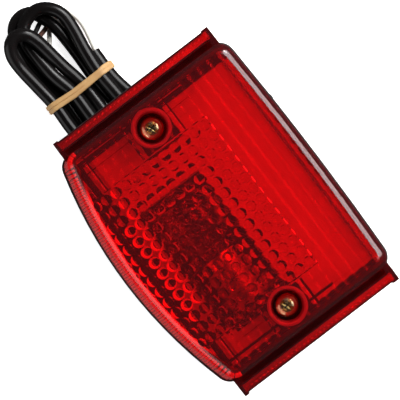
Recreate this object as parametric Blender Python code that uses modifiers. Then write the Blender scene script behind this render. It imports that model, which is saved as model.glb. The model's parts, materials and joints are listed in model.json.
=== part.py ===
"""Trailer tail light: a red screw-on lens over a black housing, with one two-filament bulb inside.

The light lies on its back. +Z points out through the lens and z = 0 is the flat back of the housing,
+X runs along the light's length and +Y points to its straight long side. The cord leaves the
housing's rear boss to -X and lies beside the light as a hank held by a rubber band.
"""

import math

import bmesh
import bpy
from mathutils import Matrix, Vector

MM = 0.001
GAP = 0.3                       # clearance between touching pieces

# Plan outline of the lens base, in millimetres
HALF_LENGTH = 56.8
STRAIGHT_Y = 45.0               # long straight side, at the corners
STRAIGHT_BOW = 1.3
BOWED_Y = -37.7                 # bowed side, at the corners
BOWED_BOW = 8.6
CORNER_RADIUS = 6.0

# Heights
BOSS_TOP = 14.0                 # the tray stands on the rear boss
FLOOR = 2.6                     # thickness of tray floor and boss floor
RIM_Z = 30.0                    # top of the housing's lip
LENS_BASE_Z = 32.0
LENS_WALL_TOP_Z = 48.0
LENS_FACE_Z = 52.0
LENS_WALL = 2.3
RIM_CORNER_SHARE = 0.3          # the corners stay round up to the lens face

# Upright reflex panels at the ends of the lens
PANEL_Y = (-35.6, 42.5)
PANEL_EDGE_X = 63.3
OVERALL_HALF_LENGTH = 64.0
PANEL_TOP_Z = 45.0
PANEL_WIDTH = 4.4
PANEL_TAB = 3.0

# Rear boss of the housing
BOSS_HALF = (30.0, 33.0)
BOSS_WALL = 2.6
MOUNT_HALF_SPACING = 25.4
MOUNT_BORE = 2.6
MOUNT_INSERT_RADIUS = 4.2

# Lens screws in their wells
SCREW_X = 44.85
WELL_MOUTH_RADIUS = 6.6
WELL_FLOOR_RADIUS = 5.6
WELL_FLOOR_Z = 40.2
WELL_SEAT = 2.6
WELL_TUBE_RADIUS = 8.5
POST_RADIUS = 5.0
INSERT_RADIUS = 3.2
SCREW_SHANK_RADIUS = 2.4
SCREW_HEAD_RADIUS = 4.75
SCREW_HEAD_HEIGHT = 3.3
SCREW_TIP_Z = 27.5
SEAL_THICKNESS = 1.2

# Reflector panel
REFLECTOR_Z = 26.0
REFLECTOR_THICKNESS = 1.2
REFLECTOR_X = (-49.5, 51.0)
REFLECTOR_Y = (-26.8, 41.0)
STEP_DEPTH = 4.0
STEP_EDGE_Y = -31.8
WINDOW_X = (-21.0, 38.0)
WINDOW_Y = (-25.4, 4.6)
PANEL_PADS = ((-40.0, 34.0), (40.0, 34.0), (-40.0, -20.0), (45.0, -20.0))

# Bulb and socket, turned about an axis along X
BULB_Y = -10.0
BULB_Z = 33.0
GLOBE_RADIUS = 13.25
GLOBE_X = -6.25
NECK_RADIUS = 6.3
NECK_END_X = 16.0
GLASS_WALL = 0.8
BASE_X = (12.0, 25.4)
BASE_RADIUS = 7.6
PIN_X = 21.5
PIN_RADIUS = 1.0
PIN_REACH = 8.7
SOCKET_X = (16.5, 36.0)
SOCKET_RADIUS = 8.8
SOCKET_BORE = 7.9
PUSH_TRAVEL = 2.0
TWIST = 20.0                    # degrees
CONTACT_OFFSET = 3.0
CARRIER_X = (29.0, 31.4)
BRACKET_X = 29.4
BRACKET_SHEET = 1.2
BRACKET_FOOT_X = 37.3
BRACKET_FOOT_Y = (-22.4, 9.1)
RIVET_X = 33.6
GROUND_RIVET_Y = 5.5
PLAIN_RIVET_Y = -18.6

# Cord
SLEEVE_RADIUS = 2.8
WIRE_RADIUS = 1.0
EXIT_Y = -23.5
EXIT_Z = 8.5
HANK_X = (-119.0, -36.5)
HANK_Y = (-31.5, 5.5)
HANK_Z = (1.5, 13.2)
BAND_X = (-79.7, -76.0)
BAND_THICKNESS = 1.0
CORD_LEAD = ((-21.5, EXIT_Y, EXIT_Z), (-27.0, EXIT_Y, EXIT_Z), (-33.0, EXIT_Y, EXIT_Z),
             (-37.8, EXIT_Y, EXIT_Z))

for old in list(bpy.data.objects):
    bpy.data.objects.remove(old, do_unlink=True)

PARTS = bpy.data.collections.new("trailer_tail_light")
CUTTERS = bpy.data.collections.new("cutters")
for collection in (PARTS, CUTTERS):
    bpy.context.scene.collection.children.link(collection)


# ---- building tools ----

def material(name, colour, roughness, metallic=0.0):
    """A plain Principled material."""
    made = bpy.data.materials.new(name)
    made.use_nodes = True
    shader = made.node_tree.nodes["Principled BSDF"]
    shader.inputs["Base Color"].default_value = (*colour, 1.0)
    shader.inputs["Roughness"].default_value = roughness
    shader.inputs["Metallic"].default_value = metallic
    return made


def add(name, bm, finish=None, location=(0, 0, 0), rotation=(0, 0, 0)):
    """Turn a bmesh into an object. It is a part when it has a finish, and a cutter otherwise."""
    mesh = bpy.data.meshes.new(name)
    bmesh.ops.scale(bm, vec=(MM, MM, MM), verts=bm.verts)
    bm.to_mesh(mesh)
    bm.free()
    obj = bpy.data.objects.new(name, mesh)
    obj.location = Vector(location) * MM
    obj.rotation_euler = [math.radians(angle) for angle in rotation]
    if finish is None:
        CUTTERS.objects.link(obj)
        obj.hide_render = True
        obj.display_type = "WIRE"
    else:
        PARTS.objects.link(obj)
        mesh.materials.append(finish)
        mesh.shade_smooth()
        mesh.set_sharp_from_angle(angle=math.radians(35))
    return obj


def box(name, low, high, finish=None, corner=0.0):
    """A box between two corners, with its upright edges rounded by the corner radius."""
    bm = bmesh.new()
    bmesh.ops.create_cube(bm, size=1.0)
    size = [b - a for a, b in zip(low, high)]
    centre = [(a + b) / 2 for a, b in zip(low, high)]
    bmesh.ops.scale(bm, vec=size, verts=bm.verts)
    bmesh.ops.translate(bm, vec=centre, verts=bm.verts)
    if corner:
        upright = [e for e in bm.edges if abs(e.verts[0].co.z - e.verts[1].co.z) > 0.5 * size[2]]
        bmesh.ops.bevel(bm, geom=upright, offset=corner, segments=4, profile=0.5, affect="EDGES")
    return add(name, bm, finish)


def cone(name, radii, ends, centre=(0, 0), finish=None, sides=32):
    """An upright cone or cylinder, with radii at its low and high ends."""
    bm = bmesh.new()
    bmesh.ops.create_cone(bm, cap_ends=True, segments=sides, radius1=radii[0], radius2=radii[1],
                          depth=ends[1] - ends[0])
    bmesh.ops.translate(bm, vec=(*centre, (ends[0] + ends[1]) / 2), verts=bm.verts)
    return add(name, bm, finish)


def loft(name, rings, finish=None, **place):
    """A closed solid through rings of points, each counter-clockwise seen from the last ring."""
    bm = bmesh.new()
    loops = [[bm.verts.new(point) for point in ring] for ring in rings]
    for lower, upper in zip(loops, loops[1:]):
        for i, corner in enumerate(lower):
            j = (i + 1) % len(lower)
            bm.faces.new((corner, lower[j], upper[j], upper[i]))
    bm.faces.new(list(reversed(loops[0])))
    bm.faces.new(loops[-1])
    return add(name, bm, finish, **place)


def turned(name, profile, finish=None, steps=32, closed=False, **place):
    """A profile of (radius, height) points turned about Z. It runs down the outer side."""
    bm = bmesh.new()
    points = [bm.verts.new((radius, 0, height)) for radius, height in profile]
    for a, b in zip(points, points[1:]):
        bm.edges.new((a, b))
    if closed:
        bm.edges.new((points[-1], points[0]))
    obj = add(name, bm, finish, **place)
    screw = obj.modifiers.new("turn", "SCREW")
    screw.steps = steps
    screw.render_steps = steps
    screw.use_merge_vertices = True
    screw.merge_threshold = 0.00001
    screw.use_smooth_shade = finish is not None
    return obj


def turned_along_x(name, profile, finish=None, centre=(BULB_Y, BULB_Z), **options):
    """A turned piece whose axis lies along X: its profile is (radius, x)."""
    return turned(name, profile, finish, location=(0, *centre), rotation=(0, 90, 0), **options)


def ring_profile(inner, outer, low, high):
    """Closed profile of a plain ring."""
    return ((outer, high), (outer, low), (inner, low), (inner, high))


def combine(target, operation, *others):
    """Apply Boolean modifiers with the other objects to the target."""
    for other in others:
        boolean = target.modifiers.new(operation.lower(), "BOOLEAN")
        boolean.operation = operation
        boolean.object = other
        boolean.solver = "EXACT"
    return target


def smooth_points(points, spacing):
    """Points on a smooth curve through the given ones, about the given distance apart."""
    knots = [Vector(p) for p in points]
    knots = [2 * knots[0] - knots[1]] + knots + [2 * knots[-1] - knots[-2]]
    found = []
    for a, b, c, d in zip(knots, knots[1:], knots[2:], knots[3:]):
        count = max(1, round((c - b).length / spacing))
        for step in range(count):
            t = step / count
            found.append(0.5 * (2 * b + (c - a) * t + (2 * a - 5 * b + 4 * c - d) * t ** 2
                                + (3 * b - a - 3 * c + d) * t ** 3))
    return found + [knots[-2]]


def tube(name, points, radius, finish, resolution=2):
    """A round wire through the points, as a poly curve with filled ends."""
    curve = bpy.data.curves.new(name, "CURVE")
    curve.dimensions = "3D"
    curve.bevel_depth = radius * MM
    curve.bevel_resolution = resolution
    curve.use_fill_caps = True
    spline = curve.splines.new("POLY")
    spline.points.add(len(points) - 1)
    for target, point in zip(spline.points, points):
        target.co = (*(Vector(point) * MM), 1.0)
        target.radius = 1.0
    curve.materials.append(finish)
    obj = bpy.data.objects.new(name, curve)
    PARTS.objects.link(obj)
    return obj


# ---- plan outline shared by lens, gasket and housing ----

def half_side(half_length, corner_y, bow, radius):
    """The right half of one long side, from the short side round the corner to x = 0 (y positive)."""
    centre_x = half_length - radius
    slope = 2 * bow * centre_x / half_length ** 2
    lean = math.atan(slope)
    edge_y = corner_y + bow * (1 - (centre_x / half_length) ** 2)
    centre_y = edge_y - radius / math.cos(lean)
    corner_steps = 6
    points = []
    for step in range(corner_steps + 1):
        angle = (math.pi / 2 - lean) * step / corner_steps
        points.append((centre_x + radius * math.cos(angle), centre_y + radius * math.sin(angle)))
    side_steps = 7
    last_x = points[-1][0]
    for step in range(1, side_steps + 1):
        x = last_x * (1 - step / side_steps)
        points.append((x, corner_y + bow * (1 - (x / half_length) ** 2)))
    return points


def outline(inset, z, corner_share=1.0):
    """The plan outline, moved inwards by inset, counter-clockwise seen from above.

    corner_share is how much of the inset the corner radius loses: none of it makes the corners rounder.
    """
    length = HALF_LENGTH - inset
    radius = max(CORNER_RADIUS - inset * corner_share, 1.5)
    top = half_side(length, STRAIGHT_Y - inset, STRAIGHT_BOW, radius)
    bottom = half_side(length, -BOWED_Y - inset, BOWED_BOW, radius)
    right_top = top
    left_top = [(-x, y) for x, y in reversed(top[:-1])]
    left_bottom = [(-x, -y) for x, y in bottom]
    right_bottom = [(x, -y) for x, y in reversed(bottom[:-1])]
    return [(x, y, z) for x, y in right_top + left_top + left_bottom + right_bottom]


def lens_outline(inset, z, corner_share=1.0):
    """The lens narrows towards its face, and leans in more on its bowed side."""
    rise = max(z - LENS_BASE_Z, 0.0) / (LENS_WALL_TOP_Z - LENS_BASE_Z)
    points = []
    for x, y, height in outline(inset + 0.6 * rise, z, corner_share):
        lean = 2.0 * rise * max(-y, 0.0) / 46.0
        points.append((x, y + lean, height))
    return points


# ---- finishes ----

RED_LENS = material("red_lens_plastic", (0.52, 0.008, 0.012), 0.08)
BLACK_PLASTIC = material("black_housing_plastic", (0.02, 0.02, 0.022), 0.4)
GASKET_RUBBER = material("gasket_rubber", (0.03, 0.03, 0.03), 0.8)
WHITE_PLASTIC = material("white_reflector_plastic", (0.85, 0.85, 0.83), 0.35)
ZINC = material("zinc_plated_steel", (0.62, 0.63, 0.65), 0.3, 1.0)
YELLOW_ZINC = material("yellow_zinc_steel", (0.72, 0.55, 0.27), 0.3, 1.0)
BRASS = material("brass", (0.75, 0.55, 0.22), 0.28, 1.0)
PHENOLIC = material("phenolic_insulator", (0.22, 0.10, 0.05), 0.5)
GLASS = material("bulb_glass", (0.9, 0.92, 0.92), 0.03)
BLACK_GLASS = material("base_insulator_glass", (0.03, 0.03, 0.035), 0.2)
SOLDER = material("solder", (0.6, 0.6, 0.6), 0.35, 1.0)
TUNGSTEN = material("tungsten_wire", (0.35, 0.35, 0.36), 0.4, 1.0)
SLEEVE = material("black_vinyl_sleeve", (0.012, 0.012, 0.013), 0.15)
WHITE_WIRE = material("white_wire_vinyl", (0.75, 0.73, 0.68), 0.35)
BROWN_WIRE = material("brown_wire_vinyl", (0.25, 0.11, 0.05), 0.35)
BLACK_WIRE = material("black_wire_vinyl", (0.02, 0.02, 0.02), 0.3)
BAND_RUBBER = material("tan_band_rubber", (0.62, 0.38, 0.16), 0.6)


# ---- housing ----

def make_housing():
    """Black tray on a rear boss, with screw posts, side wings and a nib on the straight side."""
    housing = loft("housing", [
        outline(4.0, BOSS_TOP), outline(2.2, BOSS_TOP + 1.6), outline(0.5, RIM_Z - 2.4),
        outline(-0.7, RIM_Z - 2.2), outline(-0.7, RIM_Z)], BLACK_PLASTIC)
    boss_x, boss_y = BOSS_HALF
    boss = box("boss_block", (-boss_x, -boss_y, 0), (boss_x, boss_y, BOSS_TOP + 1), corner=4.0)
    added = [boss]
    for side in (-1, 1):
        inner, raised, outer = (side * x for x in (55.0, 57.2, OVERALL_HALF_LENGTH))
        low, high = sorted((inner, outer))
        added.append(box(f"wing_{side}", (low, PANEL_Y[0], RIM_Z - 2.4), (high, PANEL_Y[1], RIM_Z)))
        low, high = sorted((raised, outer))
        added.append(box(f"wing_ridge_{side}", (low, PANEL_Y[0], RIM_Z - 1.0),
                         (high, PANEL_Y[1], LENS_BASE_Z - GAP)))
    added.append(box("nib", (-27.0, 44.0, RIM_Z - 2.2), (-25.0, 47.0, RIM_Z)))
    combine(housing, "UNION", *added)

    tray_floor = BOSS_TOP + FLOOR
    hollow = loft("tray_hollow", [outline(5.0, tray_floor), outline(3.4, tray_floor + 1.6),
                                  outline(2.4, RIM_Z + 3)])
    boss_hollow = box("boss_hollow", (-boss_x + BOSS_WALL, -boss_y + BOSS_WALL, FLOOR),
                      (boss_x - BOSS_WALL, boss_y - BOSS_WALL, tray_floor + 1), corner=2.0)
    combine(housing, "DIFFERENCE", hollow, boss_hollow)

    posts = []
    holes = []
    for side in (-1, 1):
        centre = (side * SCREW_X, 0)
        top = WELL_FLOOR_Z - WELL_SEAT - GAP
        posts.append(cone(f"post_{side}", (POST_RADIUS, POST_RADIUS), (BOSS_TOP + 1, top), centre))
        bore = INSERT_RADIUS + GAP
        holes.append(cone(f"insert_hole_{side}", (bore, bore), (24.0, 40.0), centre))
        spot = (0, side * MOUNT_HALF_SPACING)
        posts.append(cone(f"mount_pillar_{side}", (6.5, 6.5), (1.0, 12.5), spot))
        bore = MOUNT_INSERT_RADIUS + GAP
        holes.append(cone(f"mount_hole_{side}", (bore, bore), (-1.0, 10.0), spot))
    for number, spot in enumerate(PANEL_PADS):
        posts.append(cone(f"panel_pad_{number}", (2.6, 2.6), (BOSS_TOP + 1, REFLECTOR_Z - GAP), spot,
                          sides=16))
    for y in (GROUND_RIVET_Y, PLAIN_RIVET_Y):
        holes.append(cone(f"rivet_hole_{y}", (1.9, 1.9), (BOSS_TOP - 2, tray_floor + 1), (RIVET_X, y),
                          sides=16))
    for x in (-30.0, 30.0):
        holes.append(cone(f"drain_{x}", (1.6, 1.6), (BOSS_TOP - 2, tray_floor + 1), (x, -37.0), sides=16))
    grommet_hole = turned_along_x("grommet_hole", ((0, -25.0), (4.5, -25.0), (4.5, -33.0), (0, -33.0)),
                                  centre=(EXIT_Y, EXIT_Z), steps=24)
    combine(housing, "UNION", *posts)
    combine(housing, "DIFFERENCE", *holes, grommet_hole)
    return housing


def make_gasket():
    """Flat rubber ring between the housing's rim and the lens."""
    low, high = RIM_Z + GAP, LENS_BASE_Z - GAP
    gasket = loft("gasket", [outline(0.5, low), outline(0.5, high)], GASKET_RUBBER)
    hole = loft("gasket_opening", [outline(2.5, low - 1), outline(2.5, high + 1)])
    return combine(gasket, "DIFFERENCE", hole)


def make_inserts():
    """Brass threaded inserts: two take the lens screws and two the mounting screws."""
    bore = SCREW_SHANK_RADIUS + GAP
    for side, word in ((-1, "left"), (1, "right")):
        turned(f"screw_insert_{word}", ring_profile(bore, INSERT_RADIUS, 24.3, 37.0), BRASS,
               closed=True, steps=24, location=(side * SCREW_X, 0, 0))
    for side, word in ((-1, "lower"), (1, "upper")):
        turned(f"mount_insert_{word}", ring_profile(MOUNT_BORE, MOUNT_INSERT_RADIUS, GAP, 9.7), BRASS,
               closed=True, steps=24, location=(0, side * MOUNT_HALF_SPACING, 0))


def make_reflector():
    """White panel behind the bulb, stepped down along the bowed side, cut out round the posts."""
    z, sheet = REFLECTOR_Z, REFLECTOR_THICKNESS
    left, right = REFLECTOR_X
    near, far = REFLECTOR_Y
    shelf, back = z - STEP_DEPTH, near - sheet
    section = ((far, z), (far, z + sheet), (back, z + sheet), (back, shelf + sheet),
               (STEP_EDGE_Y, shelf + sheet), (STEP_EDGE_Y, shelf), (near, shelf), (near, z))
    panel = loft("reflector_panel", [[(x, *corner) for corner in section] for x in (left, right)],
                 WHITE_PLASTIC)
    cuts = [
        box("bulb_window", (WINDOW_X[0], WINDOW_Y[0], z - 1), (WINDOW_X[1], WINDOW_Y[1], z + 3)),
        box("left_notch", (left - 2, -8.9, z - 1), (-34.5, 8.8, z + 3)),
        box("right_notch", (37.3, -8.9, z - 1), (right + 2, 9.6, z + 3)),
        box("lead_slot", (WINDOW_X[1] - 1, -22.5, z - 1), (42.0, -8.0, z + 3)),
    ]
    return combine(panel, "DIFFERENCE", *cuts)


# ---- lens ----

def panel_prism(name, corners, ends, side):
    """A prism along Y from corners (x, z) of the +X side, mirrored for side -1."""
    ring = [(side * x, z) for x, z in corners]
    if side > 0:
        ring.reverse()
    return loft(name, [[(x, end, z) for x, z in ring] for end in ends])


def make_lens():
    """Red cover: hollow box with rounded rim, screw wells and an upright reflex panel at each end."""
    rim = LENS_FACE_Z - LENS_WALL_TOP_Z
    rings = [lens_outline(0.0, LENS_BASE_Z)]
    rim_steps = 5
    for step in range(rim_steps + 1):
        angle = math.pi / 2 * step / rim_steps
        rings.append(lens_outline(rim * (1 - math.cos(angle)), LENS_WALL_TOP_Z + rim * math.sin(angle),
                                  RIM_CORNER_SHARE))
    lens = loft("lens", rings, RED_LENS)

    base, top = LENS_BASE_Z, PANEL_TOP_Z
    edge, end = PANEL_EDGE_X, OVERALL_HALF_LENGTH
    root = HALF_LENGTH - 2.0
    inside = edge - PANEL_WIDTH
    web = base + 5.0
    upright = ((root, base), (edge, base), (edge, top - 2.4), (inside, top), (inside, web), (root, web))
    tab = ((root, base), (end, base), (end, top - 2.0), (inside + 0.8, top + 1), (root, top + 1))
    hollow = ((inside + 1.4, base - 1), (edge - 1.4, base - 1), (edge - 1.4, top - 4.0),
              (inside + 1.4, top - 3.2))
    low, high = PANEL_Y
    added = []
    cuts = []
    for side in (-1, 1):
        added.append(panel_prism(f"panel_{side}", upright, (low + 1, high - 1), side))
        added.append(panel_prism(f"tab_low_{side}", tab, (low, low + PANEL_TAB * 0.7), side))
        added.append(panel_prism(f"tab_high_{side}", tab, (high - PANEL_TAB, high), side))
        cuts.append(panel_prism(f"panel_hollow_{side}", hollow, (low + 2.2, high - 2.2), side))
    combine(lens, "UNION", *added)

    inner = LENS_FACE_Z - 2.4
    cavity = loft("lens_cavity", [
        lens_outline(LENS_WALL, LENS_BASE_Z - 1), lens_outline(LENS_WALL, inner - 2.5),
        lens_outline(LENS_WALL + 0.7, inner - 1.0), lens_outline(LENS_WALL + 2.0, inner)])
    for side in (-1, 1):
        centre = (side * SCREW_X, 0)
        tube_ends = (WELL_FLOOR_Z - WELL_SEAT, LENS_FACE_Z + 2)
        combine(cavity, "DIFFERENCE",
                cone(f"well_tube_{side}", (WELL_TUBE_RADIUS - 0.5, WELL_TUBE_RADIUS), tube_ends, centre))
        cuts.append(cone(f"well_{side}", (WELL_FLOOR_RADIUS, WELL_MOUTH_RADIUS + 0.08),
                         (WELL_FLOOR_Z, LENS_FACE_Z + 1), centre))
        hole = SCREW_SHANK_RADIUS + GAP + 0.1
        cuts.append(cone(f"screw_hole_{side}", (hole, hole), (LENS_BASE_Z, WELL_FLOOR_Z + 1), centre))
    return combine(lens, "DIFFERENCE", cavity, *cuts)


def make_lens_screw(word, side):
    """Pan-head screw with a cross recess, and the sealing washer under its head."""
    seal_low = WELL_FLOOR_Z + GAP
    seal_high = seal_low + SEAL_THICKNESS
    head = seal_high + GAP
    radius = SCREW_HEAD_RADIUS
    place = (side * SCREW_X, 0, 0)
    turned(f"screw_seal_{word}", ring_profile(SCREW_SHANK_RADIUS + GAP, radius + 0.3, seal_low, seal_high),
           GASKET_RUBBER, closed=True, steps=28, location=place)
    top = head + SCREW_HEAD_HEIGHT
    profile = ((0, top), (radius * 0.55, top - 0.15), (radius * 0.82, top - 0.7), (radius, top - 1.9),
               (radius, head), (SCREW_SHANK_RADIUS, head), (SCREW_SHANK_RADIUS, SCREW_TIP_Z + 0.6),
               (SCREW_SHANK_RADIUS - 0.6, SCREW_TIP_Z), (0, SCREW_TIP_Z))
    screw = turned(f"lens_screw_{word}", profile, YELLOW_ZINC, steps=28, location=place)
    for number, (long_x, long_y) in enumerate(((2.5, 0.6), (0.6, 2.5))):
        x = place[0]
        combine(screw, "DIFFERENCE", box(f"recess_{word}_{number}", (x - long_x, -long_y, top - 2.1),
                                         (x + long_x, long_y, top + 1)))
    return screw


# ---- socket ----

def slot_rings(radii, ends, angles):
    """Cross-sections of a cutter that follows the socket wall, from angle to angle about X."""
    rings = []
    for angle in angles:
        turn = Matrix.Rotation(math.radians(angle), 3, "X")
        corners = ((ends[0], radii[0]), (ends[1], radii[0]), (ends[1], radii[1]), (ends[0], radii[1]))
        rings.append([turn @ Vector((x, 0, radius)) for x, radius in corners])
    return rings


def make_socket_shell():
    """Plated shell with two J-shaped slots for the bulb's pins and an open back for the leads."""
    low, high = SOCKET_X
    shell = turned_along_x("socket_shell", (
        (SOCKET_RADIUS, high), (SOCKET_RADIUS, low), (SOCKET_BORE, low), (SOCKET_BORE, high - 1.0),
        (4.4, high - 1.0), (4.4, high)), ZINC, closed=True, steps=36)
    clear = PIN_RADIUS + 0.4
    spread = math.degrees(clear / SOCKET_RADIUS) + 1.0
    radii = (SOCKET_BORE - 1.5, SOCKET_RADIUS + 1.5)
    rest = (PIN_X - clear, PIN_X + PUSH_TRAVEL + clear)
    entry = (low - 2, rest[1])
    for pin in (0, 180):
        angles = [pin - spread + step * (TWIST + 2 * spread) / 6 for step in range(7)]
        gate = (pin + TWIST - spread, pin + TWIST, pin + TWIST + spread)
        for word, ends, turns in (("cross", rest, angles), ("entry", entry, gate)):
            cutter = loft(f"slot_{word}_{pin}", slot_rings(radii, ends, turns), location=(0, BULB_Y, BULB_Z))
            combine(shell, "DIFFERENCE", cutter)
    return shell


def make_bracket():
    """Folded steel bracket: an upright plate round the socket and a riveted foot."""
    x, sheet = BRACKET_X, BRACKET_SHEET
    low = BOSS_TOP + FLOOR + GAP
    foot_y = BRACKET_FOOT_Y
    bracket = box("socket_bracket", (x, foot_y[0], low), (BRACKET_FOOT_X, foot_y[1], low + sheet), ZINC)
    stem = box("bracket_stem", (x, BULB_Y - 8.0, low), (x + sheet, BULB_Y + 8.0, BULB_Z))
    eye = turned_along_x("bracket_eye", ((0, x + sheet), (11.0, x + sheet), (11.0, x), (0, x)), steps=32)
    combine(bracket, "UNION", stem, eye)
    hole = SOCKET_RADIUS + GAP
    cut = turned_along_x("bracket_hole", ((0, x + 4), (hole, x + 4), (hole, x - 4), (0, x - 4)), steps=36)
    rivet_holes = [cone(f"foot_hole_{y}", (1.9, 1.9), (low - 1, low + 3), (RIVET_X, y), sides=16)
                   for y in (GROUND_RIVET_Y, PLAIN_RIVET_Y)]
    return combine(bracket, "DIFFERENCE", cut, *rivet_holes)


def make_rivet(name, y, grip_top):
    """Steel rivet through the foot and the tray floor."""
    under = BOSS_TOP - GAP
    profile = ((0, grip_top + 1.4), (1.8, grip_top + 1.25), (3.0, grip_top + 0.5), (3.1, grip_top),
               (1.6, grip_top), (1.6, under), (2.8, under), (2.6, under - 0.9), (0, under - 1.1))
    return turned(name, profile, ZINC, steps=20, location=(RIVET_X, y, 0))


def make_ground_terminal():
    """Brass ring terminal held by the ground rivet, with its barrel towards -X."""
    low = BOSS_TOP + FLOOR + 2 * GAP + BRACKET_SHEET
    y = GROUND_RIVET_Y
    high = low + 0.8
    ring = cone("ground_terminal", (3.4, 3.4), (low, high), (RIVET_X, y), BRASS, sides=24)
    tongue = box("terminal_tongue", (23.0, y - 1.3, low), (RIVET_X - 2.4, y + 1.3, high))
    barrel = turned_along_x("terminal_barrel", ((0, 26.0), (1.6, 26.0), (1.6, 20.0), (0, 20.0)),
                            centre=(y, low + 1.5), steps=16)
    combine(ring, "UNION", tongue, barrel)
    combine(ring, "DIFFERENCE",
            cone("terminal_eye", (1.9, 1.9), (low - 1, high + 1), (RIVET_X, y), sides=16))
    return high


def make_contacts():
    """Insulating carrier with two brass contacts, and the spring behind it."""
    low, high = CARRIER_X
    carrier = turned_along_x("contact_carrier", ((0, high), (SOCKET_BORE - 0.4, high),
                                                 (SOCKET_BORE - 0.4, low), (0, low)), PHENOLIC, steps=28)
    for word, offset in (("tail", -CONTACT_OFFSET), ("stop", CONTACT_OFFSET)):
        centre = (BULB_Y + offset, BULB_Z)
        hole = turned_along_x(f"contact_hole_{word}", ((0, high + 1), (1.2, high + 1), (1.2, low - 1),
                                                       (0, low - 1)), centre=centre, steps=16)
        combine(carrier, "DIFFERENCE", hole)
        turned_along_x(f"contact_{word}", ((0, high + 0.6), (0.9, high + 0.6), (0.9, low - GAP),
                                           (1.6, low - GAP), (1.5, low - GAP - 0.7), (0, low - GAP - 0.8)),
                       BRASS, centre=centre, steps=16)
    coil = []
    start, finish = high + 0.7, SOCKET_X[1] - 1.0 - 0.7
    turns, per_turn = 2, 14
    for step in range(turns * per_turn + 1):
        angle = 2 * math.pi * step / per_turn
        x = start + (finish - start) * step / (turns * per_turn)
        coil.append((x, BULB_Y + 6.2 * math.cos(angle), BULB_Z + 6.2 * math.sin(angle)))
    tube("socket_spring", coil, 0.35, ZINC)
    return carrier


# ---- bulb ----

def make_glass():
    """Thin glass globe with a neck that is open inside the base."""
    def surface(shrink):
        radius = GLOBE_RADIUS - shrink
        steps, first = 9, math.radians(52)
        globe = []
        for step in range(steps + 1):
            angle = first + (math.pi - first) * step / steps
            globe.append((radius * math.sin(angle), GLOBE_X + radius * math.cos(angle)))
        globe[-1] = (0, GLOBE_X - radius)
        neck = [(NECK_RADIUS - shrink, NECK_END_X), (NECK_RADIUS - shrink, 10.5), (7.5 - shrink, 7.2)]
        return neck + globe
    profile = list(reversed(surface(GLASS_WALL))) + surface(0.0)
    return turned_along_x("bulb_glass", profile, GLASS, steps=32)


def make_bulb_base():
    """Brass bayonet base with two pins, its insulator and the two contacts at its end."""
    low, high = BASE_X
    base = turned_along_x("bulb_base", ring_profile(6.8, BASE_RADIUS, low, high), BRASS, closed=True,
                          steps=36)
    for word, sign in (("top", 1), ("bottom", -1)):
        ends = sorted((BULB_Z + sign * 7.1, BULB_Z + sign * PIN_REACH))
        combine(base, "UNION", cone(f"base_pin_{word}", (PIN_RADIUS, PIN_RADIUS), ends, (PIN_X, BULB_Y),
                                    sides=16))
    turned_along_x("bulb_insulator", ((0, high + 0.9), (4.8, high + 0.9), (6.4, high + 0.2),
                                      (6.4, high - 1.4), (0, high - 1.4)), BLACK_GLASS, steps=24)
    rear = high + 0.9 + GAP
    for word, offset in (("tail", -CONTACT_OFFSET), ("stop", CONTACT_OFFSET)):
        turned_along_x(f"bulb_contact_{word}", ((0, rear + 0.9), (1.0, rear + 0.75), (1.6, rear + 0.1),
                                                (1.5, rear), (0, rear)), SOLDER,
                       centre=(BULB_Y + offset, BULB_Z), steps=16)
    return base


def make_filaments():
    """Glass stem in the neck, and two filaments on their support wires."""
    turned_along_x("filament_stem", ((0, 15.4), (4.9, 15.4), (4.6, 14.2), (2.2, 12.0), (1.7, 9.0),
                                     (1.3, 0.0), (0, -0.3)), GLASS, steps=16)
    for word, reach, lift in (("stop", -6.5, 1.4), ("tail", -4.5, -1.4)):
        points = [(-0.7, -0.9, lift * 0.4), (-2.5, -2.4, lift), (reach, -4.2, lift), (reach, 0, lift * 1.2),
                  (reach, 4.2, lift), (-2.5, 2.4, lift), (-0.7, 0.9, lift * 0.4)]
        tube(f"filament_{word}", [(x, BULB_Y + y, BULB_Z + z) for x, y, z in points], 0.25, TUNGSTEN)


# ---- wires and cord ----

def make_inner_leads(barrel_z):
    """Three wires from the cord to the ground terminal and to the two contacts."""
    rear = CARRIER_X[1] + 0.6 + GAP
    tail_y, stop_y = BULB_Y - CONTACT_OFFSET, BULB_Y + CONTACT_OFFSET
    ground = ((-20.5, -22.2, 9.8), (-17.0, -20.0, 9.8), (-10.0, -9.0, 8.5), (6.0, 3.0, 11.0),
              (14.0, GROUND_RIVET_Y, barrel_z), (20.0 - GAP, GROUND_RIVET_Y, barrel_z))
    tail = ((-20.5, -24.9, 9.8), (-12.5, -20.8, 9.6), (-5.0, -17.3, 9.4), (4.0, -17.4, 9.0),
            (14.0, -23.0, 10.5), (22.0, -25.4, 18.5), (30.0, -25.4, 21.0), (38.5, -21.0, 25.0),
            (41.0, tail_y - 1.5, 30.5), (38.5, tail_y, BULB_Z), (rear, tail_y, BULB_Z))
    stop = ((-20.5, -23.5, 7.0), (-12.5, -18.8, 6.2), (-5.0, -15.8, 5.6), (4.0, -16.0, 5.6),
            (14.0, -20.5, 8.0), (22.0, -22.2, 16.8), (30.0, -22.2, 21.0), (38.3, -16.5, 24.2),
            (41.0, stop_y - 2.5, 30.0), (38.5, stop_y, BULB_Z), (rear, stop_y, BULB_Z))
    for name, route, finish in (("lead_ground", ground, WHITE_WIRE), ("lead_tail", tail, BROWN_WIRE),
                                ("lead_stop", stop, BLACK_WIRE)):
        tube(name, smooth_points(route, 3.5), WIRE_RADIUS, finish)


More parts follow.
